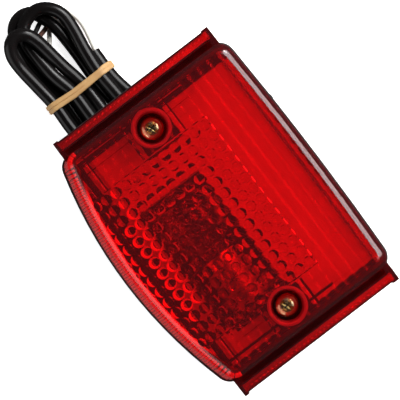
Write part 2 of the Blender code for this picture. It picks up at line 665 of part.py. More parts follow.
def make_grommet():
    """Rubber grommet in the boss wall, with a flange on each face of the wall."""
    wall = (-BOSS_HALF[0], -BOSS_HALF[0] + BOSS_WALL)
    bore = SLEEVE_RADIUS + GAP
    profile = ((5.2, wall[1] + GAP + 1.3), (5.2, wall[1] + GAP), (4.2, wall[1] + GAP), (4.2, wall[0] - GAP),
               (5.2, wall[0] - GAP), (5.2, wall[0] - GAP - 1.3), (bore, wall[0] - GAP - 1.3),
               (bore, wall[1] + GAP + 1.3))
    return turned_along_x("cable_grommet", profile, GASKET_RUBBER, centre=(EXIT_Y, EXIT_Z), closed=True,
                          steps=24)


def stadium(grow, side_x):
    """Outline of the hank in plan, with round ends, moved outwards by grow."""
    low, high = HANK_X
    radius = (HANK_Y[1] - HANK_Y[0]) / 2
    centre_y = (HANK_Y[0] + HANK_Y[1]) / 2
    ends = ((high - radius, -90), (low + radius, 90))
    points = []
    for centre_x, first in ends:
        for step in range(13):
            angle = math.radians(first + 180 * step / 12)
            points.append((centre_x + (radius + grow) * math.cos(angle),
                           centre_y + (radius + grow) * math.sin(angle), side_x))
    return points


def make_hank():
    """Outer shape of the folded cord, and the rubber band round it."""
    loft("cable_hank", [stadium(0.0, HANK_Z[0]), stadium(0.0, HANK_Z[1])], SLEEVE)
    inner = [(y, z) for y in (HANK_Y[0] - GAP, HANK_Y[1] + GAP) for z in (HANK_Z[0] - GAP, HANK_Z[1] + GAP)]
    low = (BAND_X[0], inner[0][0] - BAND_THICKNESS, inner[0][1] - BAND_THICKNESS)
    high = (BAND_X[1], inner[3][0] + BAND_THICKNESS, inner[3][1] + BAND_THICKNESS)
    band = box("rubber_band", low, high, BAND_RUBBER)
    opening = box("band_opening", (low[0] - 1, inner[0][0], inner[0][1]),
                  (high[0] + 1, inner[3][0], inner[3][1]))
    return combine(band, "DIFFERENCE", opening)


make_housing()
make_gasket()
make_inserts()
make_reflector()
make_lens()
make_lens_screw("left", -1)
make_lens_screw("right", 1)
make_socket_shell()
make_bracket()
terminal_top = make_ground_terminal()
make_rivet("bracket_rivet_ground", GROUND_RIVET_Y, terminal_top + GAP)
make_rivet("bracket_rivet_plain", PLAIN_RIVET_Y, BOSS_TOP + FLOOR + 2 * GAP + BRACKET_SHEET)
make_contacts()
make_glass()
make_bulb_base()
make_filaments()
make_inner_leads(terminal_top + 0.7)
make_grommet()
tube("cable_lead", smooth_points(CORD_LEAD, 5.0), SLEEVE_RADIUS, SLEEVE, resolution=3)
make_hank()
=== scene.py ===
"""Looks of the trailer tail light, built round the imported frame. Sizes are in millimetres, times MM."""
import json
import math

import bmesh
import bpy
from mathutils import Matrix, Vector


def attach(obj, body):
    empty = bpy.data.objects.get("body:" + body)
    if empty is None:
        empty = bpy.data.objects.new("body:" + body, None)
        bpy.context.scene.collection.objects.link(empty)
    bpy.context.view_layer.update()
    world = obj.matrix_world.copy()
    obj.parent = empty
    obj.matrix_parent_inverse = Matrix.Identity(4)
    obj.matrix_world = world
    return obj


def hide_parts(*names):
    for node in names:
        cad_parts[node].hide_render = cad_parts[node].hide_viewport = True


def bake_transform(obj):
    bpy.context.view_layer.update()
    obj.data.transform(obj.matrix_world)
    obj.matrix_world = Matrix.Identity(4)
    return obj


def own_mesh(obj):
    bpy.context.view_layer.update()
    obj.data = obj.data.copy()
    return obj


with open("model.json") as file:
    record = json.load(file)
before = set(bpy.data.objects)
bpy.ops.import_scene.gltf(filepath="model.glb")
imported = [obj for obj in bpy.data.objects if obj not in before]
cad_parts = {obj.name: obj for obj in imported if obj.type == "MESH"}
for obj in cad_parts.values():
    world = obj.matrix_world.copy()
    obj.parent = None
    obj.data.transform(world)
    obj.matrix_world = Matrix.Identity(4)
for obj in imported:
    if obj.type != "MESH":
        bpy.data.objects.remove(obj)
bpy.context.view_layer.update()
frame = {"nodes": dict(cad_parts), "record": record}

MM = 0.001
NODES = frame["nodes"]
BODY_OF = {node: body for body, nodes in frame["record"]["behaviour"]["bodies"].items() for node in nodes}
SLOT_OF = {part["node"]: part["material_slot"] for part in frame["record"]["subparts"]}

# Plan outline of the lens base
HALF_LENGTH = 56.8
STRAIGHT_Y, STRAIGHT_BOW = 45.0, 1.3
BOWED_Y, BOWED_BOW = -37.7, 8.6
CORNER_RADIUS = 6.0

# Heights and wall of the lens
LENS_BASE_Z, LENS_WALL_TOP_Z, LENS_FACE_Z = 32.0, 48.0, 52.0
LENS_WALL, FACE_THICKNESS = 2.3, 2.4
RIM_CORNER_SHARE = 0.3

# Upright reflex panels at the ends
PANEL_Y = (-35.6, 42.5)
PANEL_EDGE_X, TAB_EDGE_X = 63.3, 64.0
PANEL_TOP_Z, PANEL_WIDTH = 45.0, 4.4

# Screw wells
SCREW_X = 44.85
WELL_MOUTH_RADIUS, WELL_FLOOR_RADIUS, WELL_FLOOR_Z = 6.6, 5.6, 40.2
WELL_SEAT, WELL_TUBE_RADIUS = 2.6, 8.5

# Lens screws
SCREW_HEAD_RADIUS, SCREW_HEAD_Z, SCREW_TIP_Z = 4.75, (42.0, 45.3), 27.5
SCREW_RECESS_ANGLE = 22.0

# Optics inside the lens face, cell by cell: flutes from FLUTE_FROM_Y, domes from one DOME_X to the other,
# and shallow hollows elsewhere
CELL_PITCH = (5.28, 4.95)
CELL_CENTRE = (-1.05, 2.8)
CELL_COUNTS = (24, 20)
OPTICS_DEPTH = 1.6
OPTICS_Z = LENS_FACE_Z - FACE_THICKNESS + 0.9
DOME_RADIUS, DOME_EDGE, DOME_X = 2.95, 2.3, (-35.0, 38.0)
HOLLOW_RADIUS = 9.5
FLUTE_RADIUS = (22.0, 6.5)
FLUTE_FROM_Y = 19.0

# Painted glints under domes, as glowing crescents: the row, its first column and the one past its last,
# and half the arc's angle
GLINT_REACH = 2.42
GLINT_ROWS = (
    (-6, (-4, 5), 115), (-7, (-3, 5), 165), (-8, (-4, 5), 75), (-6, (-6, -4), 60), (-7, (5, 6), 90),
)

# Cord
SLEEVE_RADIUS, WIRE_RADIUS = 2.8, 1.05
BAND_CENTRE_X = -77.4


# ---- building tools ----

def add_piece(name, bm, body, finish, replaces=()):
    """A mesh piece from a bmesh in millimetres, riding on a body and standing for CAD nodes."""
    mesh = bpy.data.meshes.new(name)
    bmesh.ops.scale(bm, vec=(MM, MM, MM), verts=bm.verts)
    bm.to_mesh(mesh)
    bm.free()
    obj = bpy.data.objects.new(name, mesh)
    bpy.context.scene.collection.objects.link(obj)
    mesh.materials.append(finish)
    mesh.shade_smooth()
    if body:
        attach(obj, body)
        if replaces:
            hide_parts(*replaces)
    return obj


def loft(rings):
    """A closed bmesh through rings of points, each counter-clockwise seen from the last ring."""
    bm = bmesh.new()
    loops = [[bm.verts.new(point) for point in ring] for ring in rings]
    for lower, upper in zip(loops, loops[1:]):
        for i, corner in enumerate(lower):
            j = (i + 1) % len(lower)
            bm.faces.new((corner, lower[j], upper[j], upper[i]))
    bm.faces.new(list(reversed(loops[0])))
    bm.faces.new(loops[-1])
    return bm


def cone(radii, ends, centre=(0, 0), sides=64):
    """An upright cone or cylinder, with radii at its low and high ends."""
    bm = bmesh.new()
    bmesh.ops.create_cone(bm, cap_ends=True, segments=sides, radius1=radii[0], radius2=radii[1],
                          depth=ends[1] - ends[0])
    bmesh.ops.translate(bm, vec=(*centre, (ends[0] + ends[1]) / 2), verts=bm.verts)
    return bm


def boolean(target, operation, other):
    """Apply one Boolean to the bmesh target and return the new bmesh. Both are used up."""
    pair = []
    for bm in (target, other):
        mesh = bpy.data.meshes.new("operand")
        bm.to_mesh(mesh)
        bm.free()
        obj = bpy.data.objects.new("operand", mesh)
        bpy.context.scene.collection.objects.link(obj)
        pair.append(obj)
    modifier = pair[0].modifiers.new("cut", "BOOLEAN")
    modifier.operation = operation
    modifier.object = pair[1]
    modifier.solver = "EXACT"
    bpy.context.view_layer.update()
    result = bmesh.new()
    result.from_object(pair[0], bpy.context.evaluated_depsgraph_get())
    for obj in pair:
        mesh = obj.data
        bpy.data.objects.remove(obj)
        bpy.data.meshes.remove(mesh)
    return result


def smooth_points(points, spacing):
    """Points on a smooth curve through the given ones, about the given distance apart."""
    knots = [Vector(p) for p in points]
    knots = [2 * knots[0] - knots[1]] + knots + [2 * knots[-1] - knots[-2]]
    found = []
    for a, b, c, d in zip(knots, knots[1:], knots[2:], knots[3:]):
        count = max(1, round((c - b).length / spacing))
        for step in range(count):
            t = step / count
            found.append(0.5 * (2 * b + (c - a) * t + (2 * a - 5 * b + 4 * c - d) * t ** 2
                                + (3 * b - a - 3 * c + d) * t ** 3))
    return found + [knots[-2]]


def wire(name, points, radius, body, finish, resolution=5):
    """A round wire as a curve of one open spline."""
    curve = bpy.data.curves.new(name, "CURVE")
    curve.dimensions = "3D"
    curve.bevel_depth = radius * MM
    curve.bevel_resolution = resolution
    curve.use_fill_caps = True
    spline = curve.splines.new("POLY")
    spline.points.add(len(points) - 1)
    for target, point in zip(spline.points, points):
        target.co = (*(Vector(point) * MM), 1.0)
        target.radius = 1.0
    spline.use_smooth = True
    curve.materials.append(finish)
    obj = bpy.data.objects.new(name, curve)
    bpy.context.scene.collection.objects.link(obj)
    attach(obj, body)
    return obj


# ---- materials ----

def principled(name, colour, roughness, metallic=0.0):
    """A new material and its Principled node."""
    made = bpy.data.materials.new(name)
    made.use_nodes = True
    shader = made.node_tree.nodes["Principled BSDF"]
    shader.inputs["Base Color"].default_value = (*colour, 1.0)
    shader.inputs["Roughness"].default_value = roughness
    shader.inputs["Metallic"].default_value = metallic
    return made, shader


def textured(name, colours, roughness, scale, bump=0.0, metallic=0.0, stretch=(1, 1, 1), detail=4.0):
    """A Principled material whose colour and roughness vary with noise; bump adds fine relief."""
    made, shader = principled(name, colours[0], roughness[0], metallic)
    nodes, links = made.node_tree.nodes, made.node_tree.links
    place = nodes.new("ShaderNodeTexCoord")
    mapping = nodes.new("ShaderNodeMapping")
    mapping.inputs["Scale"].default_value = stretch
    noise = nodes.new("ShaderNodeTexNoise")
    noise.inputs["Scale"].default_value = scale
    noise.inputs["Detail"].default_value = detail
    links.new(place.outputs["Object"], mapping.inputs["Vector"])
    links.new(mapping.outputs["Vector"], noise.inputs["Vector"])
    ramp = nodes.new("ShaderNodeValToRGB")
    ramp.color_ramp.elements[0].position = 0.35
    ramp.color_ramp.elements[1].position = 0.7
    ramp.color_ramp.elements[0].color = (*colours[0], 1.0)
    ramp.color_ramp.elements[1].color = (*colours[1], 1.0)
    links.new(noise.outputs["Fac"], ramp.inputs["Fac"])
    links.new(ramp.outputs["Color"], shader.inputs["Base Color"])
    spread = nodes.new("ShaderNodeMapRange")
    spread.inputs["To Min"].default_value = roughness[0]
    spread.inputs["To Max"].default_value = roughness[1]
    links.new(noise.outputs["Fac"], spread.inputs["Value"])
    links.new(spread.outputs["Result"], shader.inputs["Roughness"])
    if bump:
        fine = nodes.new("ShaderNodeTexNoise")
        fine.inputs["Scale"].default_value = scale * 6
        links.new(mapping.outputs["Vector"], fine.inputs["Vector"])
        relief = nodes.new("ShaderNodeBump")
        relief.inputs["Strength"].default_value = bump
        relief.inputs["Distance"].default_value = 0.0002
        links.new(fine.outputs["Fac"], relief.inputs["Height"])
        links.new(relief.outputs["Normal"], shader.inputs["Normal"])
    return made


def clear_plastic(name, colour, lamp_colour, roughness, ior=1.49, scratches=0.0, depth_colour=None,
                  clarity=1.0):
    """Glass-like plastic that bends what is seen through it and lets lamps light what is inside.

    depth_colour is what a millimetre of it passes of each colour, near enough. Less clarity is milkier.
    """
    made, shader = principled(name, colour, roughness)
    shader.inputs["Transmission Weight"].default_value = clarity
    shader.inputs["IOR"].default_value = ior
    nodes, links = made.node_tree.nodes, made.node_tree.links
    output = nodes["Material Output"]
    if scratches:
        place = nodes.new("ShaderNodeTexCoord")
        noise = nodes.new("ShaderNodeTexNoise")
        noise.inputs["Scale"].default_value = 90.0
        noise.inputs["Detail"].default_value = 3.0
        links.new(place.outputs["Object"], noise.inputs["Vector"])
        spread = nodes.new("ShaderNodeMapRange")
        spread.inputs["To Min"].default_value = roughness
        spread.inputs["To Max"].default_value = roughness + scratches
        links.new(noise.outputs["Fac"], spread.inputs["Value"])
        links.new(spread.outputs["Result"], shader.inputs["Roughness"])
    lamp = nodes.new("ShaderNodeBsdfTransparent")
    lamp.inputs["Color"].default_value = (*lamp_colour, 1.0)
    rays = nodes.new("ShaderNodeLightPath")
    mix = nodes.new("ShaderNodeMixShader")
    if depth_colour:
        depth = nodes.new("ShaderNodeVolumeAbsorption")
        depth.inputs["Color"].default_value = (*depth_colour, 1.0)
        depth.inputs["Density"].default_value = 1.0 / MM
        links.new(depth.outputs["Volume"], output.inputs["Volume"])
    links.new(rays.outputs["Is Shadow Ray"], mix.inputs["Fac"])
    links.new(shader.outputs["BSDF"], mix.inputs[1])
    links.new(lamp.outputs["BSDF"], mix.inputs[2])
    links.new(mix.outputs["Shader"], output.inputs["Surface"])
    return made


RED_LENS = clear_plastic("red_lens", (0.84, 0.07, 0.09), (0.68, 0.2, 0.2), 0.09, scratches=0.05,
                         depth_colour=(0.88, 0.1, 0.13), clarity=0.968)
CLEAR_GLASS = clear_plastic("clear_glass", (0.97, 0.98, 0.98), (0.95, 0.96, 0.96), 0.0, ior=1.5)
BLACK_PLASTIC = textured("black_plastic", ((0.012, 0.012, 0.013), (0.02, 0.02, 0.021)), (0.32, 0.48),
                         160, 0.25)
GASKET_RUBBER = textured("gasket_rubber", ((0.02, 0.02, 0.02), (0.035, 0.035, 0.034)), (0.65, 0.85),
                         200, 0.3)
WHITE_PLASTIC = textured("white_plastic", ((0.8, 0.8, 0.78), (0.72, 0.72, 0.7)), (0.3, 0.42), 60, 0.1)
# Painted glow for the ring inside each screw-well tube
GLOWING_COLLAR_PLASTIC = textured("glowing_collar_plastic", ((0.2, 0.03, 0.035), (0.14, 0.02, 0.02)), (0.3, 0.45), 250, 0.4)
STRIP_PLASTIC = textured("strip_plastic", ((0.62, 0.12, 0.13), (0.45, 0.07, 0.08)), (0.2, 0.35), 300, 0.4)
# Painted glints: pale dots for the sparkle of the reflex prisms
PAINTED_GLINT_DOTS = textured("painted_glint_dots", ((0.95, 0.5, 0.5), (0.9, 0.4, 0.4)), (0.1, 0.2), 300, 0.1)
# Painted glow for the ribbed wall along the bowed side
GLOWING_RIB_PLASTIC = textured("glowing_rib_plastic", ((0.8, 0.25, 0.27), (0.65, 0.15, 0.17)), (0.2, 0.35), 250, 0.3)
# Painted glints: glowing crescents under the domes by the curved side
PAINTED_GLINT_PLASTIC = textured("painted_glint_plastic", ((0.9, 0.25, 0.27), (0.7, 0.15, 0.17)), (0.2, 0.35), 250, 0.3)
# Painted glow: the well collars, wall ribs and dome crescents give off red light of their own, standing
# in for light guided through the lens plastic
for glowing, strength in ((GLOWING_COLLAR_PLASTIC, 0.25), (GLOWING_RIB_PLASTIC, 0.62), (PAINTED_GLINT_PLASTIC, 0.72)):
    glow = glowing.node_tree.nodes["Principled BSDF"].inputs
    glow["Emission Color"].default_value = (1.0, 0.05, 0.07, 1.0)
    glow["Emission Strength"].default_value = strength
ZINC = textured("zinc_plate", ((0.42, 0.43, 0.45), (0.3, 0.31, 0.33)), (0.35, 0.55), 140, 0.2,
                metallic=1.0)
YELLOW_ZINC = textured("yellow_zinc", ((0.78, 0.60, 0.30), (0.66, 0.56, 0.34)), (0.16, 0.3), 300, 0.15,
                       metallic=1.0)
BRASS = textured("brass", ((0.78, 0.58, 0.25), (0.6, 0.43, 0.18)), (0.2, 0.38), 150, 0.15, metallic=1.0)
SOLDER = textured("solder", ((0.62, 0.62, 0.62), (0.45, 0.45, 0.46)), (0.3, 0.5), 500, 0.3, metallic=1.0)
TUNGSTEN = textured("tungsten", ((0.3, 0.3, 0.31), (0.22, 0.22, 0.23)), (0.35, 0.5), 400, 0.1,
                    metallic=1.0)
PHENOLIC = textured("phenolic", ((0.16, 0.07, 0.035), (0.1, 0.045, 0.025)), (0.45, 0.6), 260, 0.3)
SLEEVE = textured("black_sleeve", ((0.003, 0.0025, 0.0025), (0.006, 0.005, 0.005)), (0.14, 0.34), 38,
                  0.05)
SLEEVE.node_tree.nodes["Principled BSDF"].inputs["IOR"].default_value = 1.31
WHITE_WIRE = textured("white_wire", ((0.72, 0.70, 0.64), (0.62, 0.60, 0.55)), (0.3, 0.42), 120, 0.1)
BROWN_WIRE = textured("brown_wire", ((0.22, 0.11, 0.08), (0.15, 0.07, 0.05)), (0.3, 0.42), 120, 0.1)
BLACK_WIRE = textured("black_wire", ((0.012, 0.012, 0.012), (0.02, 0.02, 0.02)), (0.25, 0.4), 120, 0.1)
BAND_RUBBER = textured("band_rubber", ((0.5, 0.3, 0.12), (0.4, 0.22, 0.08)), (0.5, 0.7), 130, 0.4)

FINISH_OF_SLOT = {
    "housing": BLACK_PLASTIC, "gasket": GASKET_RUBBER, "reflector": WHITE_PLASTIC, "lens": RED_LENS,
    "brass": BRASS, "lens_screw": YELLOW_ZINC, "zinc": ZINC, "insulator": PHENOLIC, "glass": CLEAR_GLASS,
    "solder": SOLDER, "filament": TUNGSTEN, "cord": SLEEVE, "white_wire": WHITE_WIRE,
    "brown_wire": BROWN_WIRE, "black_wire": BLACK_WIRE, "band": BAND_RUBBER,
}


# ---- camera, light and floor ----

def add_camera():
    """Straight above the lens, turned so that the light lies along the picture's diagonal."""
    width, distance = 160.0, 1200.0
    data = bpy.data.cameras.new("camera")
    data.sensor_width = 36.0
    data.lens = data.sensor_width * distance / width
    data.clip_start = 0.01
    camera = bpy.data.objects.new("camera", data)
    bpy.context.scene.collection.objects.link(camera)
    camera.location = Vector((-10.1, -2.1, LENS_FACE_Z + distance)) * MM
    camera.rotation_euler = (0, 0, math.radians(52.6))
    bpy.context.scene.camera = camera


def add_area(name, place, size, watts):
    """A rectangular white softbox at a place, facing the middle of the light."""
    data = bpy.data.lights.new(name, "AREA")
    data.shape = "RECTANGLE"
    data.size, data.size_y = size
    data.energy = watts
    lamp = bpy.data.objects.new(name, data)
    bpy.context.scene.collection.objects.link(lamp)
    lamp.location = place
    aim = Vector((-0.02, 0, 0.03)) - lamp.location
    lamp.rotation_euler = aim.to_track_quat("-Z", "Y").to_euler()
    return lamp


def add_bounce():
    """Light thrown up by the floor in front of the curved side, seen only through the lens."""
    lamp = add_area("bounce", (0.0, -0.108, 0.001), (0.12, 0.11), 0.13)
    lamp.rotation_euler = (math.pi, 0.0, 0.0)
    lamp.visible_camera = False
    lamp.visible_glossy = False


def add_world():
    """A dim room, a little brighter round the horizon than straight above, where the camera looks in."""
    world = bpy.data.worlds.new("room")
    bpy.context.scene.world = world
    world.use_nodes = True
    nodes, links = world.node_tree.nodes, world.node_tree.links
    place = nodes.new("ShaderNodeTexCoord")
    split = nodes.new("ShaderNodeSeparateXYZ")
    ramp = nodes.new("ShaderNodeValToRGB")
    ramp.color_ramp.elements[0].position = 0.2
    ramp.color_ramp.elements[0].color = (1, 1, 1, 1)
    ramp.color_ramp.elements[1].position = 0.92
    ramp.color_ramp.elements[1].color = (0.1, 0.1, 0.1, 1)
    links.new(place.outputs["Generated"], split.inputs["Vector"])
    links.new(split.outputs["Z"], ramp.inputs["Fac"])
    links.new(ramp.outputs["Color"], nodes["Background"].inputs["Color"])
    nodes["Background"].inputs["Strength"].default_value = 0.07


def add_floor():
    """A large pale floor. Reflections and the lens leave it out, so that the lens walls stay dark."""
    bm = bmesh.new()
    bmesh.ops.create_grid(bm, x_segments=8, y_segments=8, size=3000)
    finish = textured("pale_floor", ((0.93, 0.93, 0.93), (0.95, 0.95, 0.95)), (0.7, 0.8), 2)
    shader = finish.node_tree.nodes["Principled BSDF"]
    shader.inputs["Emission Color"].default_value = (1, 1, 1, 1)
    shader.inputs["Emission Strength"].default_value = 0.85
    floor = add_piece("floor", bm, None, finish)
    floor.visible_glossy = False
    floor.visible_transmission = False


add_camera()
bpy.context.scene.view_settings.view_transform = "Standard"
add_world()
add_area("key_softbox", (0.0, 0.76, 0.71), (1.0, 0.85), 22)
add_area("low_softbox", (0.0, -1.0, 0.4), (1.3, 0.9), 6.0)
add_area("accent", (-0.46, 0.88, 0.75), (0.3, 0.3), 6.0)
add_bounce()
add_floor()

# ---- cord ----

# The sleeve's run: out of the grommet, three far loops to -X, three folds hidden under the housing
SLEEVE_ROUTE = (
    (-21.5, -23.5, 8.5), (-27.0, -23.5, 8.5), (-33.0, -23.5, 8.5), (-37.8, -23.5, 8.5),
    (-46.0, -24.2, 8.8), (-56.0, -25.6, 8.6), (-66.0, -26.3, 8.4), (-77.5, -26.0, 8.4),
    (-88.0, -27.0, 8.2), (-98.0, -28.0, 9.5), (-104.5, -27.6, 12.0), (-108.8, -25.0, 13.6),
    (-109.8, -21.4, 13.9), (-108.0, -17.9, 13.6), (-104.0, -15.9, 12.6), (-98.5, -14.9, 10.6),
    (-89.0, -13.6, 7.6), (-77.5, -11.5, 5.6), (-68.0, -11.3, 6.4), (-60.0, -11.6, 8.0),
    (-55.5, -12.1, 8.8), (-51.4, -11.8, 9.2), (-49.0, -9.8, 9.3), (-48.2, -6.8, 9.3),
    (-49.0, -3.8, 9.3), (-51.5, -1.8, 9.2), (-55.5, -1.6, 9.1), (-60.0, -2.4, 9.0),
    (-68.0, -2.9, 8.9), (-77.5, -3.3, 8.8),
    (-88.0, -2.4, 8.4), (-98.0, -0.9, 8.3), (-105.0, -0.6, 8.3), (-110.2, -2.8, 8.3),
    (-113.6, -7.4, 8.3), (-113.4, -12.8, 8.2), (-110.6, -17.4, 8.1), (-105.5, -19.6, 7.9),
    (-98.0, -19.9, 7.8), (-88.0, -19.1, 9.0), (-77.5, -16.9, 8.6), (-68.0, -16.8, 8.8),
    (-58.0, -17.3, 9.0), (-50.5, -18.8, 9.0), (-45.9, -16.6, 7.8), (-44.2, -12.2, 6.0),
    (-45.9, -7.7, 4.3), (-50.5, -5.6, 3.9), (-58.0, -5.6, 3.6), (-68.0, -5.8, 3.8),
    (-77.5, -6.0, 3.9), (-88.0, -5.6, 3.4), (-97.0, -5.6, 4.2), (-103.0, -6.0, 5.0),
    (-109.0, -7.6, 4.0), (-114.2, -10.2, 2.9), (-116.0, -14.5, 2.9), (-114.8, -19.0, 2.9),
    (-110.5, -22.3, 2.9), (-104.0, -23.6, 2.9), (-96.0, -23.8, 2.9), (-88.0, -23.2, 3.2),
    (-77.5, -21.8, 3.9), (-68.0, -21.9, 3.8), (-58.0, -22.2, 3.4), (-51.5, -22.2, 3.1),
    (-45.3, -20.5, 3.0), (-40.7, -16.0, 3.0), (-39.1, -9.7, 3.0), (-40.7, -3.5, 3.0),
    (-45.3, 1.0, 3.0), (-51.5, 2.7, 3.0), (-58.0, 2.5, 3.2), (-65.0, 1.3, 3.6),
    (-71.5, 0.2, 3.9), (-77.5, -0.1, 3.9), (-82.0, 0.0, 3.6), (-86.0, 0.1, 3.3),
)
WHITE_ROUTE = (
    (-85.2, 0.9, 3.6), (-90.2, 2.1, 2.6), (-94.4, 3.0, 1.8), (-98.5, 3.5, 1.3), (-102.6, 3.1, 1.25),
    (-106.3, 1.7, 1.25), (-109.0, -1.2, 1.25), (-109.2, -4.5, 1.25), (-106.6, -7.6, 1.25),
    (-103.7, -9.6, 1.3), (-100.6, -11.9, 1.6), (-97.5, -14.0, 1.4), (-94.0, -15.2, 1.25),
)
BROWN_ROUTE = (
    (-85.2, -0.9, 3.0), (-92.0, -0.4, 1.5), (-98.5, -0.2, 1.25), (-104.3, -0.6, 1.25),
    (-107.0, -3.4, 1.25), (-106.9, -7.0, 1.25), (-105.6, -11.0, 1.3), (-104.8, -14.5, 1.25),
    (-103.5, -18.0, 1.25),
)
BLACK_ROUTE = (
    (-85.2, 0.1, 1.8), (-92.0, -2.6, 1.25), (-99.0, -2.7, 1.25), (-104.6, -3.6, 1.25),
    (-109.0, -6.8, 1.25), (-109.2, -10.2, 1.25), (-107.6, -13.6, 1.25), (-106.0, -17.5, 1.25),
)


def add_cord():
    """The sleeved cord in its hank and the three wires at its far end."""
    points = smooth_points(SLEEVE_ROUTE, 1.5)
    cord = wire("cord_sleeve", points, SLEEVE_RADIUS, "housing", SLEEVE, resolution=7)
    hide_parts("cable_lead", "cable_hank")
    for word, route, finish in (("white", WHITE_ROUTE, WHITE_WIRE), ("brown", BROWN_ROUTE, BROWN_WIRE),
                                ("black", BLACK_ROUTE, BLACK_WIRE)):
        points = smooth_points(route, 1.0)
        lead = wire(f"wire_{word}", points, WIRE_RADIUS, "housing", finish, resolution=5)
        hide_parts("cable_hank")


def circle_hull(centres, radius, samples=48):
    """The taut outline round equal circles: the convex hull of points on them, in order."""
    points = sorted((y + radius * math.cos(t), z + radius * math.sin(t)) for y, z in centres
                    for t in (2 * math.pi * i / samples for i in range(samples)))
    halves = []
    for chain in (points, list(reversed(points))):
        kept = []
        for point in chain:
            while len(kept) > 1 and ((kept[-1][0] - kept[-2][0]) * (point[1] - kept[-2][1])
                                     <= (kept[-1][1] - kept[-2][1]) * (point[0] - kept[-2][0])):
                kept.pop()
            kept.append(point)
        halves += kept[:-1]
    return halves


def add_band():
    """The rubber band, doubled round the hank, its two turns pinched together over the middle strands."""
    at_band = [(y, z) for x, y, z in SLEEVE_ROUTE if abs(x + 77.5) < 0.1]
    outline_yz = circle_hull(at_band, SLEEVE_RADIUS + 0.56)
    for turn, (word, offset) in enumerate((("near", 0.95), ("far", -0.95))):
        curve = bpy.data.curves.new(f"band_{word}", "CURVE")
        curve.dimensions = "3D"
        curve.bevel_depth = 0.52 * MM
        curve.extrude = 0.45 * MM
        curve.bevel_resolution = 3
        spline = curve.splines.new("POLY")
        spline.points.add(len(outline_yz) - 1)
        spline.use_cyclic_u = True
        for target, (y, z) in zip(spline.points, outline_yz):
            pinch = 0.8 * math.exp(-((y + 8.0) / 5.0) ** 2) if z > 6 else 0.25
            bend = 1.1 * math.exp(-((y + 12) / 8) ** 2) if z > 6 else 0.0
            target.co = ((BAND_CENTRE_X + offset * (1 - pinch) + bend) * MM, y * MM, z * MM, 1.0)
            target.tilt = math.radians(90)
        curve.twist_mode = "Z_UP"
        curve.materials.append(BAND_RUBBER)
        obj = bpy.data.objects.new(f"band_{word}", curve)
        bpy.context.scene.collection.objects.link(obj)
        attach(obj, "housing")
        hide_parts("rubber_band")


add_cord()
add_band()


# ---- plan outline ----

def half_side(half_length, corner_y, bow, radius, corner_steps=12, side_steps=30):
    """The right half of one long side, from the short side round the corner to x = 0 (y positive)."""
    centre_x = half_length - radius
    slope = 2 * bow * centre_x / half_length ** 2
    lean = math.atan(slope)
    edge_y = corner_y + bow * (1 - (centre_x / half_length) ** 2)
    centre_y = edge_y - radius / math.cos(lean)
    points = []
    for step in range(corner_steps + 1):
        angle = (math.pi / 2 - lean) * step / corner_steps
        points.append((centre_x + radius * math.cos(angle), centre_y + radius * math.sin(angle)))
    last_x = points[-1][0]
    for step in range(1, side_steps + 1):
        x = last_x * (1 - step / side_steps)
        points.append((x, corner_y + bow * (1 - (x / half_length) ** 2)))
    return points


def outline(inset, z, corner_share=1.0):
    """The plan outline, moved inwards by inset, counter-clockwise seen from above.

    corner_share is how much of the inset the corner radius loses: none of it makes the corners rounder.
    """
    length = HALF_LENGTH - inset
    radius = max(CORNER_RADIUS - inset * corner_share, 1.5)
    top = half_side(length, STRAIGHT_Y - inset, STRAIGHT_BOW, radius)
    bottom = half_side(length, -BOWED_Y - inset, BOWED_BOW, radius)
    left_top = [(-x, y) for x, y in reversed(top[:-1])]
    left_bottom = [(-x, -y) for x, y in bottom]
    right_bottom = [(x, -y) for x, y in reversed(bottom[:-1])]
    return [(x, y, z) for x, y in top + left_top + left_bottom + right_bottom]


def lens_outline(inset, z, corner_share=1.0):
    """The lens narrows towards its face, and leans in more on its bowed side."""
    rise = max(z - LENS_BASE_Z, 0.0) / (LENS_WALL_TOP_Z - LENS_BASE_Z)
    points = []
    for x, y, height in outline(inset + 0.6 * rise, z, corner_share):
        lean = 2.0 * rise * max(-y, 0.0) / 46.0
        points.append((x, y + lean, height))
    return points


# ---- lens ----

def arc_drop(radius, reach):
    """How far a circle has curved away at a distance from its crown."""
    return radius - math.sqrt(radius ** 2 - min(reach, 0.9 * radius) ** 2)


def dome_drop(reach):
    """How far a dome hangs below its edge, at a distance from its middle."""
    return arc_drop(DOME_RADIUS, DOME_EDGE) - arc_drop(DOME_RADIUS, min(reach, DOME_EDGE))


def optics_drop(across, along, x, y):
    """How far the inside of the face hangs down at a place in the cell whose middle is at x, y."""
    if y > FLUTE_FROM_Y:
        return arc_drop(FLUTE_RADIUS[0], abs(across)) + arc_drop(FLUTE_RADIUS[1], abs(along))
    reach = math.hypot(across, along)
    if not DOME_X[0] < x < DOME_X[1]:
        return arc_drop(HOLLOW_RADIUS, reach)
    return dome_drop(reach)


